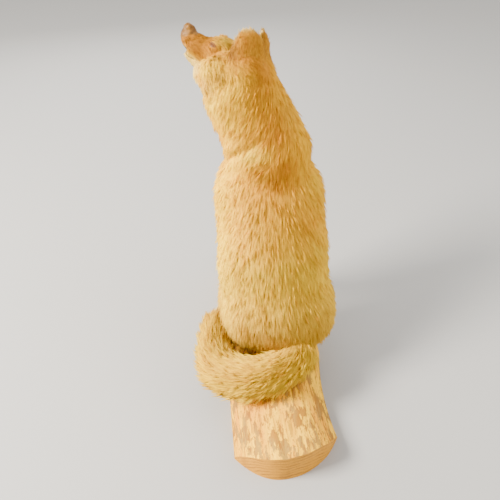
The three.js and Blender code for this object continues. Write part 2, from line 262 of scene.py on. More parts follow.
tailPoints = smoothRoute([at for at, _ in tailRoute], 3)
tailRadii = np.interp(np.arange(len(tailPoints)) / 3, range(len(tailRoute)), [r for _, r in tailRoute])


toe = {"places": (-1.5, -0.5, 0.5, 1.5), "apart": 9.5, "outerBack": 8}  # the outer two toes lie further back


def toeAt(i, x, y, z):
    return x + i * toe["apart"], y + (toe["outerBack"] if abs(i) > 1 else 0), z


def toes(p, x, y, z, size):
    return [egg(p, toeAt(i, x, y, z), (size * 0.62, size, size * 0.7)) for i in toe["places"]]


def lean(degrees):
    return spin("X", degrees)


trunkForms = [  # rump, loins, back, shoulders, chest and the two shoulder blades: place, half sizes, lean in degrees
    ((hipX - 3, 89, 130), (92, 62, 73), 0), ((-4, 42, 222), (100, 66, 108), 31), ((-7, 8, 266), (90, 62, 78), 28),
    ((-5, -22, 296), (90, 76, 104), 26), ((-2, -92, 318), (54, 46, 78), 10), ((48, -45, 325), (42, 56, 66), 20),
    ((-56, -46, 318), (42, 56, 66), 20),
]


def partsOf(p):  # distance from each part of the fox
    h = headPlaces(p)
    part = {}
    part["trunk"] = soft(46, *[egg(p, at, radii, lean(angle)) for at, radii, angle in trunkForms])
    part["neck"] = chain(p, neckRoute, (69, 71, 66, 62, 60, 52), 24)
    for word, s in (("Left", 1), ("Right", -1)):
        part["foreleg" + word] = chain(p, [(s * 50 - 2, -72, 296), (s * 50 - 2, -64, 226), (s * 38 - 2, -98, 128),
                                           (s * 36 - 2, -106, 90)], (44, 32, 20, 19), 16)
        part["forepaw" + word] = soft(12, egg(p, (s * 36 - 2, -114, 77), (20, 26, 17), lean(-6)),
                                      *toes(p, s * 36 - 2, -136, 71, 14))
        part["hindleg" + word] = soft(26, egg(p, (s * 63 + hipX, 47, 134), (46, 80, 70), lean(-12)),
                                      egg(p, (s * 68 + hipX, -4, 134), (32, 44, 50)),
                                      chain(p, [(s * 66 + hipX * 0.8, -8, 114), (s * 60 + hipX * 0.6, 40, 86),
                                                (s * 54 + hipX * 0.4, 52, 74)], (32, 24, 20), 16))
        part["hindfoot" + word] = soft(12, limb(p, (s * 54 + hipX * 0.4, 50, 72), (s * 52, -44, 62), 19, 16),
                                       egg(p, (s * 52, -54, 60), (18, 26, 15)), *toes(p, s * 52, -74, 55, 13))
    part["tail"] = chain(p, tailPoints, tailRadii, 6)
    part["skull"] = soft(20, egg(h, (-16, 0, -7), (46, 41, 37)), egg(h, (22, 0, -7), (37, 31, 26)),
                         egg(h, (-18, 37, 5), (33, 24, 25)), egg(h, (-18, -37, 5), (33, 24, 25)))
    part["cheek"] = soft(20, *[egg(h, (1, s * 32, -26), (43, 25, 32), spin("Z", s * 8)) for s in (1, -1)],
                         egg(h, (-18, 0, -36), (48, 50, 40)), egg(h, (23, 0, -46), (37, 35, 25)))
    part["muzzle"] = soft(12, limb(h, (38, 0, -16), (84, 0, -15), 22, 15), egg(h, (60, 0, -23), (30, 19, 15)),
                          egg(h, (91, 0, -8.5), (12, 12, 15.5)))
    part["jaw"] = soft(10, limb(h, (20, 0, -44), (70, 0, -40), 18, 7.5), egg(h, (76, 0, -38), (8, 9, 5)))
    return part, h


def foxOf(part):
    head = soft(6, soft(16, soft(20, part["skull"], part["cheek"]), part["muzzle"]), part["jaw"])
    seat = soft(30, part["trunk"], part["hindlegLeft"], part["hindlegRight"])
    body = soft(16, seat, *[part[name + word] for name in ("foreleg", "hindfoot") for word in ("Left", "Right")])
    body = soft(12, body, part["forepawLeft"], part["forepawRight"])
    return soft(24, body, part["neck"], head)


# each part's coat: a lock's length, how deep the skin lies under its tip, its width, and its lift for its length
coat = {
    "trunk": (27, 6.5, 2.2, 0.24), "neck": (25, 6.2, 2.1, 0.24), "skull": (12, 3.0, 1.5, 0.24),
    "cheek": (17, 4.6, 1.7, 0.27), "muzzle": (6.5, 1.3, 1.2, 0.26), "jaw": (6.0, 1.3, 1.1, 0.24),
    "foreleg": (13, 3.0, 1.6, 0.22), "forepaw": (7, 1.5, 1.2, 0.22), "hindleg": (24, 6.2, 2.1, 0.24),
    "hindfoot": (9, 2.0, 1.5, 0.22), "tail": (28, 8.5, 2.1, 0.32),
}


def sharesOf(part, reach=7.0):  # how much each part has a say at each point
    names = sorted(part)
    near = np.stack([part[name] for name in names])
    weight = np.exp(-(near - near.min(0)) / reach)
    return names, weight / weight.sum(0)


def noSide(name):
    return name.replace("Left", "").replace("Right", "")


def coatValue(names, share, column):
    return sum(share[i] * coat[noSide(name)][column] for i, name in enumerate(names))


def driedWaves(h):  # shallow waves, as on leather that has dried
    x, y, z = h.T
    return np.sin(x * 0.62 + 1.3 * np.sin(z * 0.31 + y * 0.2)) * np.sin(z * 0.45 + 0.8 * np.sin(x * 0.27) + y * 0.35)


def eyeAxes(side):
    look, slant = (Vector((eyes[way][0], side * eyes[way][1], eyes[way][2])) for way in ("look", "slant"))
    look = look.normalized()
    slant = (slant - look * slant.dot(look)).normalized()
    return np.array([slant, look.cross(slant), look], np.float32)


def skinForm(p):
    part, h = partsOf(p)
    names, share = sharesOf(part)
    body = foxOf(part) + coatValue(names, share, 1)
    d = soft(8, body, part["tail"] + coat["tail"][1])
    root = limb(p, (-36, 100, 112), (-36, 145, 94), 29, 31) + coat["tail"][1]
    d = soft(34, d, root)
    fold = np.minimum(farFrom(p, neckFold[0], neckFold[1]), farFrom(p, neckFold[1], neckFold[2]))
    overhang = farFrom(p, neckFold[0] + np.float32((0, 0, 13)), neckFold[1] + np.float32((1.5, 0, 15)))
    d = d + crease["deep"] * np.exp(-(fold / crease["across"]) ** 2)
    d = d - crease["swell"] * np.exp(-(overhang / crease["swellAcross"]) ** 2)
    # brows and cheekbones round the eyes
    for side in (1, -1):
        d = soft(7, d, egg(h, (33, side * 18, 9.5), (15, 7.5, 4.5), spin("Z", side * -12)))
        d = soft(7, d, egg(h, (44, side * 20, -9), (13, 5.5, 4.5), spin("Z", side * -22)))
        at, axes = onSide(eyes["at"], side), eyeAxes(side)
        d = soft(4, d, egg(h, at, [eyes["radius"] + eyes["lid"]] * 3))
        d = cut(0.8, d, egg(h, at + axes[2] * 9, (eyes["openLength"], eyes["openHeight"], 6), axes.T))
    # nose pad, nostrils, the groove under them and the parted lips
    d = soft(3, d, egg(h, (96.0, 0, -2.5), (6.5, 8.4, 8.0), spin("Y", 12)))
    for side in (1, -1):
        d = cut(1.2, d, egg(h, (102.5, side * 4.6, -5), (4.5, 2.0, 2.8), spin("Z", side * 30)))
        d = cut(1.0, d, egg(h, (97.5, side * 9.2, -7), (4.0, 1.6, 1.2), spin("Y", -20)))
        d = soft(1.5, d, egg(h, (93, side * 8.5, 0), (5.0, 2.2, 4.0)))
    hx, hy, hz = h.T
    d = d + 1.6 * np.exp(-(hy / 0.9) ** 2) * blendTo(-29, -25, hz) * blendTo(-9, -12, hz) * blendTo(90, 94, hx)
    d = d + driedHeight * driedWaves(h) * blendTo(66, 84, hx) * blendTo(-30, -22, hz)
    lipLine = -38 + 4.6 * blendTo(72, 100, hx) - 0.02 * (60 - hx) * (hx < 60)
    lips = np.exp(-((hz - lipLine) / mouth["lipWide"]) ** 2) * blendTo(36, 50, hx) * blendTo(-60, -50, hz)
    d = d + mouth["lip"] * lips
    d = cut(1.5, d, egg(h, (mouth["front"], 0, mouth["height"] + 0.8), (19, 20, mouth["open"]), spin("Y", 7)))
    return d


# meshing: one corner in each cell that the surface crosses
corners = [(a & 1, a >> 1 & 1, a >> 2) for a in range(8)]  # of a cell


def netOf(value, low, cell):
    inside = value < 0
    shape = np.array(value.shape) - 1
    held = sum(inside[a:a + shape[0], b:b + shape[1], c:c + shape[2]].astype(np.int8) for a, b, c in corners)
    cells = np.argwhere((held > 0) & (held < 8))
    number = np.full(shape, -1, np.int64)
    number[tuple(cells.T)] = np.arange(len(cells))
    total = np.zeros((len(cells), 3))
    count = np.zeros(len(cells))
    for a in range(8):
        for bit in (1, 2, 4):
            if a & bit:
                continue
            ca, cb = np.array(corners[a]), np.array(corners[a | bit])
            va, vb = value[tuple((cells + ca).T)], value[tuple((cells + cb).T)]
            crossed = (va < 0) != (vb < 0)
            t = np.where(crossed, va / np.where(crossed, va - vb, 1), 0)
            total += crossed[:, None] * (ca + t[:, None] * (cb - ca))
            count += crossed
    points = np.float32(low) + cell * (cells + total / count[:, None])
    quads = []
    for axis in range(3):
        step = np.eye(3, dtype=int)
        u, v = step[(axis + 1) % 3], step[(axis + 2) % 3]
        first = np.moveaxis(inside, axis, 0)
        edges = np.argwhere(np.moveaxis(first[:-1] != first[1:], 0, axis))
        edges = edges[(edges > 0).all(1) & (edges < shape).all(1)]
        ring = np.stack([number[tuple((edges - s).T)] for s in (u + v, v, 0 * u, u)], 1)
        flip = ~inside[tuple(edges.T)]
        ring[flip] = ring[flip, ::-1]
        quads.append(ring)
    return points, np.concatenate(quads)


def slopeOf(form, p, step=0.4):
    here = form(p)
    slope = np.stack([form(p + np.float32(step) * np.eye(3, dtype=np.float32)[i]) - here for i in range(3)], 1) / step
    return here, slope


def settle(form, p, passes, most):
    for _ in range(passes):
        here, slope = slopeOf(form, p)
        move = here / np.maximum((slope ** 2).sum(1), 0.2)
        p = p - slope * np.clip(move, -most, most)[:, None] * 0.9
    return p


skinMake = {"cell": 3.2, "low": (-135, -165, 30), "high": (150, 245, 610), "headFrom": 468}


def enlarged(grid, times):
    for axis in range(3):
        grid = np.repeat(grid, times, axis)
    return grid


def coarseToFine(form, low, high, cell, times=4):  # exact near the surface only
    size = np.ceil((np.float32(high) - low) / (cell * times)).astype(int)
    axes = [low[i] + cell * times * np.arange(size[i] + 1) for i in range(3)]
    grid = np.stack(np.meshgrid(*axes, indexing="ij"), -1).reshape(-1, 3).astype(np.float32)
    rough = form(grid).reshape(size + 1)
    near = np.abs(rough) < cell * times * 1.9
    fineSize = size * times + 1
    value = enlarged(rough, times)[:fineSize[0], :fineSize[1], :fineSize[2]].copy()
    cells = np.zeros(size, bool)
    for a, b, c in corners:
        cells |= near[a:a + size[0], b:b + size[1], c:c + size[2]]
    wanted = np.zeros(fineSize, bool)
    block = enlarged(cells, times)
    for a, b, c in corners:
        wanted[a:a + block.shape[0], b:b + block.shape[1], c:c + block.shape[2]] |= block
    at = np.argwhere(wanted)
    value[tuple(at.T)] = form((np.float32(low) + cell * at).astype(np.float32))
    return value


print("skin: form")
value = coarseToFine(skinForm, np.float32(skinMake["low"]), np.float32(skinMake["high"]), skinMake["cell"])
points, quads = netOf(value, skinMake["low"], skinMake["cell"])
points = settle(skinForm, points.astype(np.float32), 3, 2.0)
print("skin:", len(points), "corners before the head is refined")


def refined(points, faces, chosen):  # splits the edges whose two ends are chosen
    bm = bmesh.new()
    corners = [bm.verts.new(p) for p in points]
    for f in faces:
        bm.faces.new([corners[i] for i in f])
    bm.verts.index_update()
    edges = [e for e in bm.edges if chosen[e.verts[0].index] and chosen[e.verts[1].index]]
    bmesh.ops.subdivide_edges(bm, edges=edges, cuts=1, use_grid_fill=True)
    bm.verts.index_update()
    out = np.array([v.co for v in bm.verts], np.float32), [[v.index for v in f.verts] for f in bm.faces]
    bm.free()
    return out


def nearFace(points):
    h = headPlaces(points)
    nearEye = [np.linalg.norm(h - onSide((42, 24, 1), side), axis=1) < 15 for side in (1, -1)]
    return (h[:, 0] > 74) & (np.abs(h[:, 1]) < 40) | nearEye[0] | nearEye[1]


h = headPlaces(points)
inHead = (points[:, 2] > skinMake["headFrom"]) & (h[:, 0] > -75)
points, faces = refined(points, quads, inHead)
points = settle(skinForm, points, 1, 1.0)
points, faces = refined(points, faces, nearFace(points))
points = settle(skinForm, points, 2, 0.6)
print("skin:", len(points), "corners,", len(faces), "faces")

# ears: a rolled leaf, nearly a tube at its root and open at the tip
ear = {"at": (-15, 29, 8), "length": 62, "radius": 32, "thick": 5, "wrap": 105, "under": 0.9,
       "tipBack": 10, "sunk": 14, "rows": 34, "columns": 40,
       "left": {"lean": 22, "splay": 4, "twist": -42}, "right": {"lean": 8, "splay": 40, "twist": 0}}


def earMesh(side, pose):
    rows, columns = ear["rows"], ear["columns"]
    points, tags = [], []
    for inner in (0, 1):
        for j in range(rows + 1):
            t = 0.975 * j / rows
            r = ear["radius"] * math.sqrt(1 - t ** 5)
            for i in range(columns + 1):
                across = -1 + 2 * i / columns
                bend = math.radians(ear["wrap"]) * (1 - 0.45 * t) * across
                thick = ear["thick"] * (1 - 0.6 * t) * (1 - 0.55 * abs(across) ** 6)
                wall = r - (ear["under"] if not inner else thick - ear["under"])
                wall = max(wall, 0.5)
                x = ear["tipBack"] * t - wall * math.cos(bend) * (1 - 0.3 * t)
                points.append((x, wall * math.sin(bend), ear["length"] * t - ear["sunk"]))
                tags.append((t, across, inner))
    width = columns + 1
    under = (rows + 1) * width
    faces = []
    for j in range(rows):
        for i in range(columns):
            a = j * width + i
            b = under + a
            faces += [(a, a + width, a + width + 1, a + 1), (b, b + 1, b + width + 1, b + width)]
    for i in range(columns):
        a = rows * width + i
        faces += [(i, i + 1, under + i + 1, under + i), (a, under + a, under + a + 1, a + 1)]
    for j in range(rows):
        a, b = j * width, j * width + columns
        faces += [(a, under + a, under + a + width, a + width), (b, b + width, under + b + width, under + b)]
    turn = spin("Y", pose["lean"]) @ spin("X", -side * pose["splay"]) @ spin("Z", side * pose["twist"])
    local = np.float32(points) @ turn.T + onSide(ear["at"], side)
    up = turn @ np.float32((0, 0, 1))
    return fromHead(local), faces, np.float32(tags), headTurn @ up


earTags = np.zeros((len(points), 4), np.float32)  # up the leaf, across it, inner face, is an ear
earUp = np.zeros((len(points), 3), np.float32)
for side, word in ((1, "left"), (-1, "right")):
    made, earFaces, tags, up = earMesh(side, ear[word])
    faces += [[i + len(points) for i in f] for f in earFaces]
    points = np.concatenate([points, made])
    earTags = np.concatenate([earTags, np.concatenate([tags, np.ones((len(tags), 1), np.float32)], 1)])
    earUp = np.concatenate([earUp, np.tile(up, (len(tags), 1))])

skin = meshOf("skin", points * mm, faces)
reshape(skin.data, lambda bm: bmesh.ops.triangulate(bm, faces=[f for f in bm.faces if len(f.verts) > 4]))
skin.data.shade_smooth()
print("skin:", len(skin.data.polygons), "faces with the ears")

# what each place on the skin says about its coat
normals = readValues(skin.data.vertices, "normal", 3)
part, h = partsOf(points.astype(np.float32))
names, share = sharesOf(part, 6.0)
isEar = earTags[:, 3] > 0
onEar = earTags[:, 3]
hn = normals @ headTurn


def shareOf(*wanted):
    return sum(share[i] for word in wanted for i, name in enumerate(names) if noSide(name) == word)


headShare = shareOf("skull", "cheek", "muzzle", "jaw")


def combAt(points):
    x = points[:, 0]

    def lie(*way):  # one direction for each place
        return np.stack([np.broadcast_to(np.float64(value), x.shape) for value in way], 1)

    flow = {
        "trunk": lie(0.28 * (x + 5) / 90, 0.34, -1), "neck": lie(0.38 + 0.1 * (x / 70), 0.20, -0.95),
        "foreleg": lie(0, 0.05, -1), "forepaw": lie(0, -1, -0.5),
        "hindleg": lie(0.1 * np.sign(x - hipX), 0.30, -1), "hindfoot": lie(0, -1, -0.35),
    }
    hx, hy, hz = h.T
    back = {  # in the head's own directions
        "skull": lie(-1, 0.12 * np.tanh(hy / 12), -0.10 - 0.25 * blendTo(-10, -50, hx)),
        "cheek": lie(-0.85, 0.20 * np.tanh(hy / 12), -0.62),
        "muzzle": lie(-1, 0.15 * np.tanh(hy / 8), -0.30 * blendTo(-8, -24, hz)),
        "jaw": lie(-1, 0, -0.25),
    }
    for name, way in back.items():
        flow[name] = way @ headTurn.T
    route = np.float32(tailPoints)
    middles = (route[1:] + route[:-1]) / 2
    segment = np.stack([np.linalg.norm(points - middle, axis=1) for middle in middles])
    ways = route[1:] - route[:-1]
    ways /= np.linalg.norm(ways, axis=1)[:, None]
    pull = np.exp(-(segment - segment.min(0)) / 9)
    flow["tail"] = (pull[:, :, None] * ways[:, None, :]).sum(0) / pull.sum(0)[:, None]
    total = np.zeros_like(points)
    for i, name in enumerate(names):
        way = flow[noSide(name)]
        total += share[i][:, None] * way / np.linalg.norm(way, axis=1)[:, None]
    away = points - np.float32(whorl["at"])
    total += whorl["push"] * np.exp(-(np.linalg.norm(away, axis=1) / whorl["reach"]) ** 2)[:, None] * away
    return np.where(isEar[:, None], earUp, total)


comb = combAt(points)
comb = comb - normals * (comb * normals).sum(1)[:, None]
comb = comb / np.maximum(np.linalg.norm(comb, axis=1), 1e-6)[:, None]

lockLength, lockWidth, lockLift = (coatValue(names, share, c) for c in (0, 2, 3))
nearTip = blendTo(0.88, 0.98, np.abs(earTags[:, 0])) + blendTo(0.90, 0.98, np.abs(earTags[:, 1]))
earLock = {"length": 9.5, "atRoot": 4.0, "width": 1.6, "lift": 0.34}  # atRoot is added at the root of the ear
lockLength = np.where(isEar, earLock["length"] + earLock["atRoot"] * blendTo(0.5, 0, earTags[:, 0]), lockLength)
lockWidth = np.where(isEar, earLock["width"], lockWidth)
lockLift = np.where(isEar, earLock["lift"], lockLift)

# where no coat grows: the worn tip of the muzzle, inside the lips, on the lids
ragged = np.array([noise.noise(Vector(q) * 0.16) for q in points])
wornTip = blendTo(-1.0, 2.0, h[:, 0] + 5 * ragged - 71 - 1.05 * np.maximum(0, 4 - h[:, 2])) * headShare
lipGap = (hn[:, 2] < -0.35) * blendTo(78, 82, h[:, 0]) * (h[:, 2] > -34)
lipGap = lipGap + (hn[:, 2] > 0.5) * (h[:, 2] < -30) * blendTo(60, 66, h[:, 0])
lidPlace = np.zeros(len(points))
for side in (1, -1):
    v = (h - onSide(eyes["at"], side)) @ eyeAxes(side).T
    out = (v[:, 2] > 2) * (np.linalg.norm(v, axis=1) < 13)
    reach = np.sqrt((v[:, 0] / 8.6) ** 2 + (v[:, 1] / 4.2) ** 2)
    lidPlace = np.maximum(lidPlace, out * blendTo(0.98, 0.78, reach))
bare = np.clip(wornTip + lipGap + lidPlace, 0, 1) * (1 - onEar)
growth = (1 - bare) ** 2
growth = np.where(isEar & (earTags[:, 0] < 0.08), 0.3, growth)

# colours, the same for skin and coat
tones = {
    "back": shade(242, 198, 40), "upperBack": shade(236, 178, 30), "lowBack": shade(220, 174, 48),
    "neck": shade(240, 180, 12), "orange": shade(218, 144, 26), "yellow": shade(248, 204, 16),
    # dusk is a dim tone for painted shade, laid in patches below
    "cream": shade(250, 212, 36), "dusk": shade(164, 120, 62), "belly": shade(246, 226, 132),
    "cheek": shade(226, 180, 30), "brow": shade(206, 160, 40), "crown": shade(186, 122, 6),
    "muzzle": shade(152, 98, 2), "lip": shade(236, 206, 104), "worn": shade(122, 84, 28),
    "inMouth": shade(44, 24, 18), "pad": shade(98, 66, 26), "lid": shade(104, 62, 16), "leg": shade(204, 152, 50),
    "paw": shade(112, 78, 46), "tail": shade(218, 174, 20), "tailTop": shade(176, 130, 34),
    "tailTip": shade(242, 226, 170), "earBack": shade(204, 142, 26), "earRim": shade(226, 192, 100),
    "earInside": shade(236, 214, 160), "nostril": shade(40, 24, 18), "smudge": shade(140, 108, 52),
    "earShade": shade(92, 50, 14),
}
# patches on the body: tone, place, reach each way, strength; the dusk ones are painted shade
patches = [
    # the yellow and cream patches at x 64 to 84 on the flank are partly paler fur and partly painted light on the
    # side the key lamp faces
    ("cream", (37, 2, 425), (30, 34, 10), 0.95), ("yellow", (64, -16, 398), (20, 34, 20), 0.8),
    ("yellow", (80, -5, 351), (20, 44, 46), 0.75), ("yellow", (80, 34, 296), (17, 44, 60), 0.7),
    ("cream", (84, 82, 205), (18, 44, 70), 0.55), ("orange", (-2, 23, 374), (34, 34, 25), 0.65),
    ("orange", (-24, 14, 400), (26, 34, 24), 0.75), ("orange", (-12, -10, 462), (24, 44, 44), 0.7),
    ("orange", (8, -26, 520), (22, 40, 34), 0.6), ("yellow", (69, -24, 508), (26, 44, 34), 0.7),
    ("yellow", (62, -6, 462), (24, 44, 30), 0.6), ("orange", (40, 4, 436), (34, 30, 7), 0.5),
    ("yellow", (-76, -1, 358), (12, 34, 20), 0.5), ("dusk", (18, 102, 248), (10, 30, 6), 0.30),
    ("dusk", (-4, 30, 385), (7, 30, 9), 0.35), ("dusk", (30, 140, 150), (30, 30, 16), 0.30),
    ("orange", (-50, 60, 300), (30, 40, 40), 0.25), ("cream", (100, -63, 545), (14, 18, 10), 0.7),
    ("cream", (83, -53, 552), (14, 16, 8), 0.55), ("orange", (109, -72, 520), (12, 22, 16), 0.7),
    ("dusk", (95, -49, 524), (6, 9, 14), 0.45), ("smudge", (76, -41, 538), (9, 14, 9), 0.75),
    ("dusk", (89, -41, 513), (7, 12, 9), 0.35), ("cream", (94, -45, 494), (13, 24, 15), 0.75),
    ("cream", (82, -32, 478), (12, 24, 16), 0.4), ("orange", (43, -38, 560), (20, 26, 12), 0.4),
    ("orange", (8, -46, 548), (20, 30, 24), 0.6), ("yellow", (53, -28, 530), (22, 26, 22), 0.55),
    ("dusk", (80, -66, 561), (9, 12, 6), 0.45), ("dusk", (-36, -48, 500), (14, 40, 40), 0.30),
    # painted shade on the tail's upper end by the hip
    ("dusk", (108, 36, 106), (22, 26, 18), 0.35), ("cream", (69, -96, 574), (12, 14, 7), 0.5),
    # earShade at the front of the ear's root is painted shade of the ear's opening
    ("dusk", (32, -44, 569), (24, 12, 3.5), 0.45), ("earShade", (57, -66, 569), (6.5, 22, 10), 0.85),
    ("crown", (30, -4, 456), (27, 16, 10), 0.6), ("cream", (22, 5, 430), (25, 15, 10), 0.7),
]


mottle = {"wide": 0.022, "fine": (0.09, 0.09, 0.03), "wideShare": 0.10, "fineShare": 0.06}


def tonesAt(points):
    x, y, z = points.T
    hx, hy, hz = h.T
    tail = shareOf("tail")
    blot = np.array([noise.noise(Vector(q) * mottle["wide"]) for q in points])
    fine = np.array([noise.noise(Vector(q)) for q in points * mottle["fine"]])
    chest = blendTo(-0.25, -0.75, normals[:, 1]) * blendTo(150, 230, z) * blendTo(60, 35, np.abs(x + 3))
    jowl = np.exp(-((hx - 8) / 10) ** 2 - ((hz + 44) / 12) ** 2) * (np.abs(hy) > 20)
    nosePad = blendTo(0.15, 0.75, hn[:, 0]) * blendTo(93, 97, hx) * blendTo(-16, -11, hz)
    front = blendTo(0.45, 0.9, np.abs(earTags[:, 1]))
    layers = [  # tone and amount, each over the ones before it
        ("upperBack", blendTo(230, 330, z + 30 * blot)), ("neck", shareOf("neck")),
        ("lowBack", blendTo(230, 150, z + 20 * blot)), ("belly", 0.9 * chest), ("leg", shareOf("foreleg")),
        ("paw", 0.75 * shareOf("forepaw", "hindfoot") + 0.6 * blendTo(150, 95, z) * blendTo(-95, -115, y)),
        ("tail", tail), ("tailTop", 0.5 * tail * blendTo(0.2, 0.9, normals[:, 2]) * (0.5 + fine)),
        ("tailTip", 0.8 * tail * blendTo(45, 20, y) * (x > 60)), ("crown", headShare),
        ("cheek", headShare * blendTo(-16, -40, hz + 8 * blot) * 0.9), ("smudge", headShare * 0.7 * jowl),
        ("brow", headShare * 0.85 * np.exp(-((hx - 30) / 20) ** 2) * blendTo(-4, 8, hz)),
        ("muzzle", headShare * blendTo(40, 62, hx) * blendTo(-34, -22, hz)),
        ("lip", headShare * blendTo(36, 50, hx) * blendTo(-30, -38, hz)),
        ("belly", 0.8 * headShare * blendTo(-0.3, -0.8, hn[:, 2]) * blendTo(60, 40, hx)),
    ]
    for name, place, reach, strength in patches:
        far = (((points - np.float32(place)) / np.float32(reach)) ** 2).sum(1)
        layers.append((name, strength * np.exp(-far) * (1 + 0.5 * fine) * (1 - onEar)))
    layers += [("worn", np.clip(wornTip * 1.3, 0, 1) * (hz > -30)), ("pad", 0.85 * headShare * nosePad),
               ("inMouth", np.clip(lipGap, 0, 1) * (np.abs(hz + 33) < 6))]
    for side in (1, -1):
        far = np.linalg.norm(h - onSide((102, 5.4, -8.5), side), axis=1)
        layers.append(("nostril", headShare * np.exp(-(far / 3.0) ** 4)))
    layers += [("lid", lidPlace), ("earBack", onEar), ("earInside", onEar * earTags[:, 2]),
               # earShade along the ear's edges towards its root is painted shade of the rolled ear's inside
               ("earShade", 0.75 * onEar * front * blendTo(0.85, 0.35, earTags[:, 0])),
               ("earRim", onEar * np.clip(nearTip, 0, 1) * blendTo(0.55, 0.85, earTags[:, 0]))]
    tone = np.tile(np.float64(tones["back"]), (len(x), 1))
    for name, amount in layers:
        tone = tone + (np.float64(tones[name]) - tone) * np.clip(amount, 0, 1)[:, None]
    return tone * (1 + mottle["wideShare"] * blot + mottle["fineShare"] * fine)[:, None]


tone = tonesAt(points)
addValues(skin.data, "comb", "FLOAT_VECTOR", comb.astype(np.float32))
lockSize = np.stack([lockLength, lockWidth, lockLift * lockLength], 1) * mm
addValues(skin.data, "lockSize", "FLOAT_VECTOR", lockSize.astype(np.float32))
addValues(skin.data, "growth", "FLOAT", growth.astype(np.float32))
addValues(skin.data, "bare", "FLOAT", bare.astype(np.float32))
addValues(skin.data, "tone", "FLOAT_COLOR", np.concatenate([tone, np.ones((len(tone), 1))], 1).astype(np.float32))

print("skin: unwrap")
bpy.context.view_layer.objects.active = skin
skin.select_set(True)
skin.data.uv_layers.new(name="OFBake")
unwrap = {"angle": math.radians(72), "margin": 0.002}
bpy.ops.object.mode_set(mode="EDIT")
bpy.ops.mesh.select_all(action="SELECT")
bpy.ops.uv.smart_project(angle_limit=unwrap["angle"], island_margin=unwrap["margin"])
bpy.ops.object.mode_set(mode="OBJECT")


# materials of skin and coat
def skinMaterial():
    made, tree, shader = newMaterial("shortHair", Roughness=0.75, Specular_IOR_Level=0.2)
    colour, bareHere = attribute(tree, "tone")["Color"], attribute(tree, "bare")["Fac"]
    hair = noiseAt(tree, 900, 3)
    pores = noiseAt(tree, 520, 4, roughness=0.7)
    folds = noiseAt(tree, 160, 3, (1, 1, 1), 0.6, 0.8)
    furShade = ramp(tree, hair, (0.3, (0.78, 0.70, 0.58)), (0.75, (1.0, 0.98, 0.95)))
    bareShade = ramp(tree, folds, (0.3, (0.66, 0.58, 0.50)), (0.7, (1.2, 1.18, 1.15)))
    shading = mixColours(tree, bareHere, furShade, bareShade)
    tree.links.new(mixColours(tree, 1.0, colour, shading, "MULTIPLY"), shader.inputs["Base Color"])
    rough = calculate(tree, "SUBTRACT", 0.85, calculate(tree, "MULTIPLY", bareHere, 0.35))
    tree.links.new(rough, shader.inputs["Roughness"])
    addBump(tree, shader, calculate(tree, "ADD", pores, folds), 0.6, 0.0006)
    return made


coatLook = {
    "shader": {"Roughness": 0.75, "Specular_IOR_Level": 0.12, "Sheen_Weight": 0.12, "Sheen_Roughness": 0.4,
               "Sheen_Tint": (*shade(255, 215, 130), 1)},
    # along a lock from root to tip, and from the darkest lock to the palest
    # the darker roots are partly the hair's own colour and partly painted shade in the gaps between locks
    "along": [(0.0, (0.78, 0.66, 0.46)), (0.42, (0.97, 0.94, 0.88)), (1.0, (1.04, 1.08, 1.14))],
    "own": [(0.12, (0.74, 0.62, 0.44)), (0.48, (0.98, 0.97, 0.95)), (0.85, (1.08, 1.13, 1.22))],
}


def coatMaterial():
    made, tree, shader = newMaterial("coat", **coatLook["shader"])
    grow = ramp(tree, attribute(tree, "along")["Fac"], *coatLook["along"])
    grown = mixColours(tree, 1.0, attribute(tree, "tone")["Color"], grow, "MULTIPLY")
    each = ramp(tree, attribute(tree, "own")["Fac"], *coatLook["own"])
    tree.links.new(mixColours(tree, 1.0, grown, each, "MULTIPLY"), shader.inputs["Base Color"])
    return made


skin.data.materials.append(skinMaterial())
coatFinish = coatMaterial()

# the coat: locks of hair over the skin
lockShape = {"kinds": 6, "blades": 5, "middle": 0.42, "wide": 0.135, "flat": 0.6}


def lockMesh(kind):  # a few hairs side by side, each a spindle that bends over at its middle
    rng = np.random.default_rng(40 + kind)
    points, faces, along = [], [], []
    m = lockShape["middle"]
    for blade in range(lockShape["blades"]):
        place = -1 + 2 * blade / (lockShape["blades"] - 1)
        start = place * 0.42 + rng.uniform(-0.08, 0.08)
        end = place * rng.uniform(0.15, 0.70) + rng.uniform(-0.16, 0.16)
        reach = rng.uniform(0.66, 1.0)
        back = rng.uniform(-0.16, 0.06)
        rise = rng.uniform(0.55, 1.15)
        first = len(points)
        points.append((back, start, -0.08))
        for k in range(3):
            turn = 2 * math.pi * (k / 3 + 0.25)
            y = start * (1 - m) + end * m + lockShape["wide"] * math.cos(turn)
            z = 0.8 * rise * (1.75 * m - 0.75 * m * m) - 0.05 + lockShape["wide"] * lockShape["flat"] * math.sin(turn)
            points.append((back + reach * m, y, z))
        points.append((back + reach, end, 0.8 * rise))
        along += [0.0, m, m, m, 1.0]
        for k in range(3):
            a, b = first + 1 + k, first + 1 + (k + 1) % 3
            faces += [(first, b, a), (a, b, first + 4)]
    made = meshOf(f"lock{kind}", points, faces)
    bpy.context.scene.collection.objects.unlink(made)
    addValues(made.data, "along", "FLOAT", np.float32(along))
    return made


lockKinds = bpy.data.collections.new("lockKinds")
for kind in range(lockShape["kinds"]):
    lockKinds.objects.link(lockMesh(kind))


growing = {
    "streak": 0.9, "own": 0.28, "jitter": 0.16,  # how locks differ in shade, together and singly, and in direction
    "streakScale": 95.0, "wanderScale": 42.0, "frizzScale": 150.0,  # waves to a metre
    "long": (0.72, 1.12), "wide": (0.7, 1.2),  # shortest and longest, narrowest and widest
    "lift": 0.66, "stand": 1.2, "rare": 6.0,  # most locks lie flat and a few stand out
}


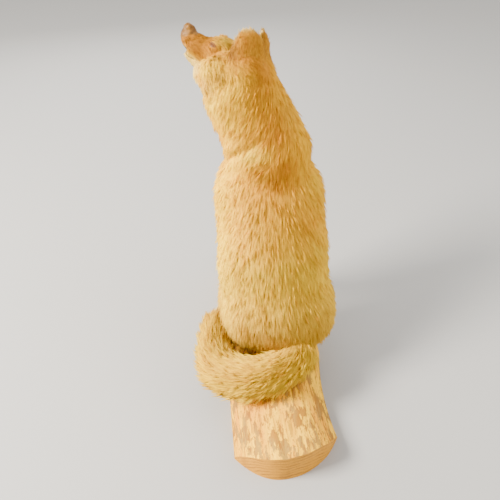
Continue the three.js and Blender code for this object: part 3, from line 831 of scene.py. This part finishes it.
def coatTree():
    tree = bpy.data.node_groups.new("coatOverSkin", "GeometryNodeTree")
    wanted = {"Geometry": "Geometry", "piece": "Int", "seed": "Int", "locks": "Collection", "finish": "Material"}
    wanted.update(dict.fromkeys(("spacing", "clumpSize", "clumpPull", "wander", "frizz", "thick"), "Float"))
    for name, kind in wanted.items():
        tree.interface.new_socket(name=name, in_out="INPUT", socket_type="NodeSocket" + kind)
    tree.interface.new_socket(name="Geometry", in_out="OUTPUT", socket_type="NodeSocketGeometry")

    def add(kind, inputs=(), **settings):
        return put(tree, kind, inputs, **settings)

    def named(name, kind="FLOAT_VECTOR"):
        return add("GeometryNodeInputNamedAttribute", {"Name": name}, data_type=kind)["Attribute"]

    def vectors(how, *values):
        return add("ShaderNodeVectorMath", dict(enumerate(values)), operation=how)["Vector"]

    def scaled(vector, by):
        return add("ShaderNodeVectorMath", {0: vector, "Scale": by}, operation="SCALE")["Vector"]

    def times(first, second):
        return calculate(tree, "MULTIPLY", first, second)

    def keep(points, name, kind, value):
        return add("GeometryNodeStoreNamedAttribute", {"Geometry": points, "Name": name, "Value": value},
                   data_type=kind, domain="POINT")[0]

    def waves(scale):
        return add("ShaderNodeTexNoise", {"Vector": place, "Scale": scale, "Detail": 2.0})

    def drift(scale, by):  # a push one way or another, alike for neighbours
        return scaled(vectors("SUBTRACT", waves(scale)["Color"], (0.5, 0.5, 0.5)), by)

    def randomBetween(low, high, seed):
        return add("FunctionNodeRandomValue", {2: low, 3: high, "Seed": seed}, data_type="FLOAT")[1]

    given = add("NodeGroupInput")
    place = add("GeometryNodeInputPosition")[0]
    here = add("FunctionNodeCompare", {2: named("piece", "INT"), 3: given["piece"]},
               data_type="INT", operation="EQUAL")[0]
    spread = add("GeometryNodeDistributePointsOnFaces", {
        "Mesh": given["Geometry"], "Selection": here, "Distance Min": given["spacing"], "Density Max": 1e7,
        "Density Factor": named("growth", "FLOAT"), "Seed": given["seed"],
    }, distribute_method="POISSON")
    normal = spread["Normal"]
    # each root keeps its place on the unwrap and a value of its own
    streak = times(waves(growing["streakScale"])["Fac"], growing["streak"])
    own = calculate(tree, "ADD", streak, randomBetween(-growing["own"], growing["own"], 3))
    roots = keep(spread["Points"], "root", "FLOAT_VECTOR", named("OFBake"))
    roots = keep(roots, "facing", "FLOAT_VECTOR", normal)
    roots = keep(roots, "own", "FLOAT", own)
    # direction: the lie of the coat, wandering a little, and drawn together into clumps
    lockLong, lockWide, lockHigh = partsOfVector(tree, named("lockSize"))
    clumps = calculate(tree, "DIVIDE", 1.0, given["clumpSize"])
    cells = add("ShaderNodeTexVoronoi", {"Vector": place, "Scale": clumps}, feature="F1")
    toClump = scaled(vectors("SUBTRACT", cells["Position"], place), given["clumpPull"])
    way = vectors("ADD", named("comb"), drift(growing["wanderScale"], given["wander"]))
    jitter = add("FunctionNodeRandomValue", {0: (-growing["jitter"],) * 3, 1: (growing["jitter"],) * 3, "Seed": 9},
                 data_type="FLOAT_VECTOR")
    way = vectors("ADD", scaled(vectors("ADD", way, jitter[0]), lockLong), toClump)
    way = vectors("SUBTRACT", way, vectors("PROJECT", way, normal))
    turn = add("FunctionNodeAlignRotationToVector", {"Vector": way}, axis="X", pivot_axis="AUTO")[0]
    turn = add("FunctionNodeAlignRotationToVector", {"Rotation": turn, "Vector": normal}, axis="Z", pivot_axis="X")[0]
    standing = times(growing["stand"], calculate(tree, "POWER", randomBetween(0.0, 1.0, 7), growing["rare"]))
    size = add("ShaderNodeCombineXYZ", {0: times(lockLong, randomBetween(*growing["long"], 5)),
                                        1: times(times(lockWide, given["thick"]), randomBetween(*growing["wide"], 6)),
                                        2: times(lockHigh, calculate(tree, "ADD", growing["lift"], standing))})[0]
    kinds = add("GeometryNodeCollectionInfo", {0: given["locks"], "Separate Children": True, "Reset Children": True})
    which = add("FunctionNodeRandomValue", {4: 0, 5: lockShape["kinds"] - 1}, data_type="INT")[2]
    planted = add("GeometryNodeInstanceOnPoints", {"Points": roots, "Instance": kinds[0], "Pick Instance": True,
                                                   "Instance Index": which, "Rotation": turn, "Scale": size})[0]
    real = add("GeometryNodeRealizeInstances", {0: planted})[0]
    # frizz: tips stray from the lock
    along = named("along", "FLOAT")
    amount = times(times(times(along, along), given["frizz"]), lockLong)
    moved = add("GeometryNodeSetPosition", {"Geometry": real, "Offset": drift(growing["frizzScale"], amount)})[0]
    add("NodeGroupOutput", {0: add("GeometryNodeSetMaterial", {"Geometry": moved, "Material": given["finish"]})[0]})
    return tree


# The skin's faces are shared out between the coat's pieces by height, the head on its own.
faceArea = readValues(skin.data.polygons, "area")
faceCentre = readValues(skin.data.polygons, "center", 3) / mm
loopVertex = readValues(skin.data.loops, "vertex_index", 1, np.int32)
firstVertex = loopVertex[readValues(skin.data.polygons, "loop_start", 1, np.int32)]
faceHead = headShare[firstVertex] + onEar[firstVertex] > 0.5
locksOn = {
    "body": {"pieces": 7, "spacing": 2.72, "clumpSize": 0.008, "clumpPull": 0.5, "wander": 0.6},
    "head": {"pieces": 2, "spacing": 1.58, "clumpSize": 0.005, "clumpPull": 0.4, "wander": 0.45},
}
everyLock = {"frizz": 0.16, "thick": 1.15}
facePiece = np.zeros(len(faceArea), np.int32)
start = 0
for name, chosen in (("body", ~faceHead), ("head", faceHead)):
    order = np.flatnonzero(chosen)
    key = faceCentre[order, 2] if name == "body" else headPlaces(faceCentre[order])[:, 0]
    order = order[np.argsort(key, kind="stable")]
    filled = np.cumsum(faceArea[order])
    count = locksOn[name]["pieces"]
    facePiece[order] = start + np.minimum((filled / filled[-1] * count).astype(int), count - 1)
    start += count
addValues(skin.data, "piece", "INT", facePiece, "FACE")

tree = coatTree()
socketOf = {s.name: s.identifier for s in tree.interface.items_tree if s.in_out == "INPUT"}
softness = 0.78  # how far a lock's outer faces take the light as the skin under them would
patchSize = 0.003  # a lock's share of the unwrap


def softenNormals(mesh, loops):
    facing = readValues(mesh.attributes["facing"].data, "vector", 3)[loops]
    sides = readValues(mesh.polygons, "loop_total", 1, np.int32)
    faceNormal = np.repeat(readValues(mesh.polygons, "normal", 3), sides, axis=0)
    corner = readValues(mesh.corner_normals, "vector", 3)
    outer = blendTo(0.05, 0.35, (faceNormal * facing).sum(1))[:, None]
    mixed = corner + (facing - corner) * softness * outer
    mixed = mixed / np.maximum(np.linalg.norm(mixed, axis=1), 1e-6)[:, None]
    mesh.normals_split_custom_set(mixed.astype(np.float32))


def growCoat(name, piece, look):
    field = skin.copy()
    field.data = skin.data.copy()
    bpy.context.scene.collection.objects.link(field)
    grow = field.modifiers.new("coat", "NODES")
    grow.node_group = tree
    spacing = look["spacing"] * mm * 1.0
    given = {**look, **everyLock, "spacing": spacing, "piece": piece, "seed": 11 + piece, "locks": lockKinds,
             "finish": coatFinish}
    for key, value in given.items():
        if key in socketOf:
            grow[socketOf[key]] = value
    bpy.context.view_layer.update()
    mesh = bpy.data.meshes.new_from_object(field.evaluated_get(bpy.context.evaluated_depsgraph_get()))
    bpy.data.objects.remove(field)
    made = bpy.data.objects.new(name, mesh)
    bpy.context.scene.collection.objects.link(made)
    # each lock is a small patch at its root's place on the skin's unwrap
    root = readValues(mesh.attributes["root"].data, "vector", 3)
    along = readValues(mesh.attributes["along"].data, "value")
    perLock = lockShape["blades"] * 5  # each blade has five points
    blade = (np.arange(len(root)) % perLock) / perLock
    uv = (root[:, :2] + np.stack([blade, along], 1) * patchSize).astype(np.float32)
    loops = readValues(mesh.loops, "vertex_index", 1, np.int32)
    while mesh.uv_layers:
        mesh.uv_layers.remove(mesh.uv_layers[0])
    mesh.uv_layers.new(name="OFBake").data.foreach_set("uv", uv[loops].ravel())
    mesh.shade_smooth()
    softenNormals(mesh, loops)
    for extra in ("root", "facing", "comb", "lockSize", "growth", "bare", "piece"):
        if extra in mesh.attributes:
            mesh.attributes.remove(mesh.attributes[extra])
    print(name, len(mesh.polygons), "faces,", sum(len(p.vertices) - 2 for p in mesh.polygons), "triangles")
    return made


coatNames = [(f"coat{word.title()}{i + 1}", look) for word, look in locksOn.items() for i in range(look["pieces"])]
coatPieces = [growCoat(name, i, look) for i, (name, look) in enumerate(coatNames)]

# eyes
def eyeMaterial():
    made, tree, shader = newMaterial("glassEye", Roughness=0.4, Specular_IOR_Level=0.06)
    front = partsOfVector(tree, attribute(tree, "front")["Vector"])
    across = calculate(tree, "DIVIDE", front[0], 0.13)
    upright = calculate(tree, "DIVIDE", front[1], 0.42)
    squares = [calculate(tree, "MULTIPLY", value, value) for value in (across, upright)]
    pupil = calculate(tree, "ADD", *squares)
    inIris = ramp(tree, front[2], (0.0, shade(84, 44, 12)), (0.5, shade(104, 58, 16)), (0.62, shade(50, 26, 9)),
                  (0.72, shade(24, 14, 7)))
    dark = calculate(tree, "LESS_THAN", pupil, 1.0)
    tree.links.new(mixColours(tree, dark, inIris, (0.004, 0.003, 0.003)), shader.inputs["Base Color"])
    return made


rings, spokes = 24, 40
eyeFinish = eyeMaterial()
for side, word in ((1, "left"), (-1, "right")):
    axes = eyeAxes(side)
    local = [(0, 0, 1.0)]
    for i in range(1, rings):
        polar = math.pi * i / rings
        for j in range(spokes):
            around = 2 * math.pi * j / spokes
            local.append((math.sin(polar) * math.cos(around), math.sin(polar) * math.sin(around), math.cos(polar)))
    local.append((0, 0, -1.0))
    local = np.float32(local)
    bulge = 1 + 0.06 * blendTo(0.72, 0.95, local[:, 2])
    world = (local * bulge[:, None] * (eyes["radius"] - 0.15)) @ axes
    world = fromHead(world + onSide(eyes["at"], side))
    faces = [(0, 1 + j, 1 + (j + 1) % spokes) for j in range(spokes)]
    for i in range(rings - 2):
        a = 1 + i * spokes
        faces += [(a + j, a + spokes + j, a + spokes + (j + 1) % spokes, a + (j + 1) % spokes) for j in range(spokes)]
    last = len(local) - 1
    faces += [(last, last - spokes + (j + 1) % spokes, last - spokes + j) for j in range(spokes)]
    if np.linalg.det(axes) < 0:
        faces = [f[::-1] for f in faces]
    ball = meshOf(f"eyeball_{word}", world * mm, faces)
    radial = np.linalg.norm(local[:, :2], axis=1)
    front = np.stack([local[:, 0], local[:, 1], np.where(local[:, 2] > 0, radial, 1)], 1)
    addValues(ball.data, "front", "FLOAT_VECTOR", front.astype(np.float32))
    ball.data.materials.append(eyeFinish)
    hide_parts(f"eye_{word}")
    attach(ball, "root")

# claws
claw = {"length": 12.5, "thick": 1.9, "curl": 5.0}


def clawMaterial():
    made, tree, shader = newMaterial("horn", Roughness=0.35)
    grain = noiseAt(tree, 500, 3, (1, 0.3, 1))
    horn = ramp(tree, grain, (0.3, shade(48, 36, 28)), (0.75, shade(104, 84, 64)))
    tree.links.new(horn, shader.inputs["Base Color"])
    addBump(tree, shader, grain, 0.3, 0.0003)
    return made


def clawSet(name, x, y, z, size):
    points, faces = [], []
    for i in toe["places"]:
        root = np.array(toeAt(i, x, y - size * 0.78, z + 1.0))
        first = len(points)
        for ring in range(7):
            t = ring / 6
            r = claw["thick"] * (1 - t) ** 0.7
            at = root + np.array((i * 0.6 * t, -claw["length"] * t, 1.5 * t - claw["curl"] * t * t))
            if ring == 6:
                points.append(at)
                continue
            for k in range(8):
                turn = 2 * math.pi * k / 8
                points.append(at + np.array((0.72 * r * math.cos(turn), 0, r * math.sin(turn))))
        faces.append([first + k for k in range(8)])
        for ring in range(5):
            a = first + ring * 8
            faces += [(a + (k + 1) % 8, a + k, a + 8 + k, a + 8 + (k + 1) % 8) for k in range(8)]
        a, tip = first + 40, first + 48
        faces += [(a + (k + 1) % 8, a + k, tip) for k in range(8)]
    made = meshOf(name, np.array(points) * mm, faces)
    reshape(made.data, lambda bm: bmesh.ops.recalc_face_normals(bm, faces=bm.faces))
    made.data.materials.append(hornFinish)
    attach(made, "root")


hornFinish = clawMaterial()
for side, word in ((1, "left"), (-1, "right")):
    clawSet(f"claws_fore_{word}", side * 36 - 2, -136, 71, 14)
    clawSet(f"claws_hind_{word}", side * 52, -74, 55, 13)

# the log
log = {"rear": 326, "front": -226, "left": 86, "right": 88, "waist": 12, "thickness": 62, "rim": 3, "bow": 55,
       "skew": 11, "across": 110, "along": 190, "deep": 16}  # the last three are counts of faces


def logEdge(y, u):
    return log["left"] if u > 0 else log["right"] + log["waist"] * min(1, ((y - 180) / 112) ** 2)


def logPoint(u, along):
    rear = log["rear"] - log["bow"] * abs(u) ** 2.1 + log["skew"] * u
    front = log["front"] + log["bow"] * 0.6 * abs(u) ** 2.4
    y = front + (rear - front) * along
    x = u * logEdge(y, u)
    across = min(1, abs(x) / logEdge(y, x))
    return x, y, log["rim"] + (log["thickness"] - log["rim"]) * (1 - across ** 2.3) ** 0.75


def edgeWave(x):  # the rear edge of the top dips where the slab was split unevenly
    return -3.4 * math.exp(-((x - 5) / 10) ** 2) + 0.9 * math.sin(x * 0.11 + 1)


def sharpenEnds(bm):  # the rims between the sawn ends and the rest
    for e in bm.edges:
        if len({f.material_index for f in e.link_faces}) == 2:
            e.smooth = False


def logObject():
    across, along, deep = log["across"], log["along"], log["deep"]
    points, faces, depth, grid = [], [], [], {}

    def quad(*corners):
        faces.append([grid[c] for c in corners])

    for j in range(along + 1):
        for i in range(across + 1):
            u = math.sin((-1 + 2 * i / across) * math.pi / 2)
            x, y, top = logPoint(u, j / along)
            worn = noise.noise(Vector((x * 0.03, y * 0.006, 1))) + 0.45 * noise.noise(Vector((x * 0.11, y * 0.02, 5)))
            bark = noise.fractal(Vector((x * 0.070, y * 0.021, 3)), 0.6, 2.1, 5)
            worn = min(worn, 0.35) + 0.8 * blendTo(0.02, 0.12, bark) - 0.4
            worn = worn * blendTo(0, 12, min(j, along - j)) * blendTo(0, 6, min(i, across - i))
            wave = edgeWave(x)
            worn += wave * blendTo(log["rear"] - 60, log["rear"] - 22, y)
            for k in range(deep + 1):
                if k not in (0, deep) and j not in (0, along) and i not in (0, across):
                    continue  # inside the wood
                z = top * k / deep + (worn if k == deep else 0)
                grid[i, j, k] = len(points)
                points.append((x, y, z))
                depth.append((top - z + wave * 0.9, x, bark))
    for j in range(along):
        for i in range(across):
            quad((i, j, 0), (i, j + 1, 0), (i + 1, j + 1, 0), (i + 1, j, 0))
            quad((i, j, deep), (i + 1, j, deep), (i + 1, j + 1, deep), (i, j + 1, deep))
    for j in range(along):
        for k in range(deep):
            quad((0, j, k), (0, j, k + 1), (0, j + 1, k + 1), (0, j + 1, k))
            quad((across, j, k), (across, j + 1, k), (across, j + 1, k + 1), (across, j, k + 1))
    endStart = len(faces)
    for i in range(across):
        for k in range(deep):
            quad((i, 0, k), (i + 1, 0, k), (i + 1, 0, k + 1), (i, 0, k + 1))
            quad((i, along, k), (i, along, k + 1), (i + 1, along, k + 1), (i + 1, along, k))
    made = meshOf("log", np.array(points) * mm, faces)
    addValues(made.data, "underTop", "FLOAT_VECTOR", np.float32(depth))
    for f in made.data.polygons[endStart:]:
        f.material_index = 1
    reshape(made.data, sharpenEnds)
    return made


woodLook = {
    "pale": shade(250, 192, 4), "gold": shade(232, 156, 4), "brown": shade(148, 96, 30), "grey": shade(150, 116, 56),
    "dark": shade(88, 54, 22), "end": shade(208, 144, 16), "endLine": shade(146, 92, 20),
    "ring": 8.2,  # the width of a year's growth
}


def woodTop():
    made, tree, shader = newMaterial("debarkedWood", Roughness=0.6, Specular_IOR_Level=0.1)
    bark = partsOfVector(tree, attribute(tree, "underTop")["Vector"])[2]
    wood = ramp(tree, noiseAt(tree, 38, 5, (1, 0.2, 1), 0.6), (0.36, woodLook["gold"]), (0.56, woodLook["pale"]))
    grain = noiseAt(tree, 260, 4, (1, 0.05, 1), 0.6)
    fibre = ramp(tree, grain, (0.3, (0.80, 0.74, 0.62)), (0.6, (1.05, 1.05, 1.05)))
    wood = mixColours(tree, 1.0, wood, fibre, "MULTIPLY")
    # what is left of the inner bark, in ragged patches with a thin dark edge
    ragged = calculate(tree, "SUBTRACT", noiseAt(tree, 170, 6, (1, 0.22, 1), 0.7, 0.4), 0.5)
    ragged = calculate(tree, "MULTIPLY", ragged, 2.0)
    edge = calculate(tree, "ADD", calculate(tree, "ADD", bark, ragged), 0.37)
    patchColour = ramp(tree, noiseAt(tree, 46, 4, (1, 0.3, 1)), (0.40, woodLook["brown"]), (0.58, woodLook["grey"]))
    patchMask = fadeIn(tree, edge, 0.50, 0.59)
    wood = stained(tree, wood, patchMask, 0.86, patchColour)
    rimMask = ramp(tree, edge, (0.47, (0, 0, 0)), (0.505, (1, 1, 1)), (0.54, (0, 0, 0)))
    wood = stained(tree, wood, rimMask, 0.38, woodLook["dark"])
    # thin threads, small marks and specks
    for pattern, low, high, strength, colour in (((170, 4, (1, 0.10, 1), 0.6, 0.3), 0.56, 0.62, 0.6, "brown"),
                                                 ((210, 5, (1, 0.2, 1), 0.68, 0.8), 0.54, 0.60, 0.85, "brown"),
                                                 ((430, 3, (1, 0.4, 1), 0.6), 0.64, 0.69, 0.55, "dark")):
        wood = stained(tree, wood, fadeIn(tree, noiseAt(tree, *pattern), low, high), strength, woodLook[colour])
    tree.links.new(wood, shader.inputs["Base Color"])
    raised = [calculate(tree, "MULTIPLY", value, share) for value, share in ((grain, 0.5), (patchMask, 0.6))]
    height = calculate(tree, "ADD", *raised)
    addBump(tree, shader, height, 0.5, 0.0008)
    return made


def woodEnd():
    made, tree, shader = newMaterial("endGrain", Roughness=0.7, Specular_IOR_Level=0.3)
    under = partsOfVector(tree, attribute(tree, "underTop")["Vector"])[0]
    wobble = calculate(tree, "MULTIPLY", noiseAt(tree, 16, 3, (1, 1, 1.6)), 2.6)
    ring = calculate(tree, "ADD", calculate(tree, "MULTIPLY", under, 1 / woodLook["ring"]), wobble)
    plain, line = woodLook["end"], woodLook["endLine"]
    rings = ramp(tree, calculate(tree, "FRACT", ring), (0.0, plain), (0.55, plain), (0.84, line), (1.0, plain))
    fading = ramp(tree, noiseAt(tree, 34, 3, (1, 1, 2)), (0.38, (0.15, 0.15, 0.15)), (0.6, (1, 1, 1)))
    wood = mixColours(tree, fading, woodLook["end"], rings)
    darker = fadeIn(tree, noiseAt(tree, 24, 4, (1.6, 1, 0.5)), 0.54, 0.70)
    wood = stained(tree, wood, darker, 0.40, woodLook["endLine"])
    fibre = ramp(tree, noiseAt(tree, 420, 4), (0.3, (0.84, 0.80, 0.72)), (0.7, (1.06, 1.06, 1.05)))
    tree.links.new(mixColours(tree, 1.0, wood, fibre, "MULTIPLY"), shader.inputs["Base Color"])
    addBump(tree, shader, noiseAt(tree, 500, 4), 0.5, 0.0005)
    return made


logPiece = logObject()
logPiece.data.materials.append(woodTop())
logPiece.data.materials.append(woodEnd())
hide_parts("log_base")
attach(logPiece, "root")
print("log:", len(logPiece.data.polygons), "faces")

flesh = [name for name in nodes if name != "log_base" and not name.startswith("eye_")]
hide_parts(*flesh)
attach(skin, "root")
for made in coatPieces:
    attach(made, "root")

# floor and light
studio = {
    "floorHalf": 6, "floorColour": (0.36, 0.355, 0.35), "air": (1.0, 0.975, 0.93), "airStrength": 1.4,  # metres
    "lamps": [  # name, place, target, watts, size, colour
        ("keyLight", (1.9, 0.45, 1.7), (0, 0, 0.3), 270, 0.8, (1.0, 0.94, 0.83)),
        ("fillLight", (-1.6, 0.6, 1.3), (0, 0, 0.3), 24, 1.4, (1.0, 0.96, 0.88)),
        ("frontLight", (0.4, -1.8, 1.2), (0, 0, 0.35), 30, 1.4, (1.0, 0.98, 0.95)),
    ],
}
half = studio["floorHalf"]
floorCorners = [(x * half, y * half, 0) for x, y in ((-1, -1), (1, -1), (1, 1), (-1, 1))]
floor = meshOf("floor", floorCorners, [(0, 1, 2, 3)], False)
floor.data.materials.append(newMaterial("paleFloor", Roughness=0.8, Base_Color=(*studio["floorColour"], 1))[0])
world = bpy.data.worlds.new("studio")
bpy.context.scene.world = world
world.use_nodes = True
world.node_tree.nodes["Background"].inputs[0].default_value = (*studio["air"], 1)
world.node_tree.nodes["Background"].inputs[1].default_value = studio["airStrength"]


def addLight(name, place, target, power, size, colour):
    lamp = bpy.data.lights.new(name, "AREA")
    lamp.energy = power
    lamp.size = size
    lamp.color = colour
    made = bpy.data.objects.new(name, lamp)
    made.location = place
    made.rotation_euler = (Vector(target) - Vector(place)).to_track_quat("-Z", "Y").to_euler()
    bpy.context.scene.collection.objects.link(made)


for lamp in studio["lamps"]:
    addLight(*lamp)
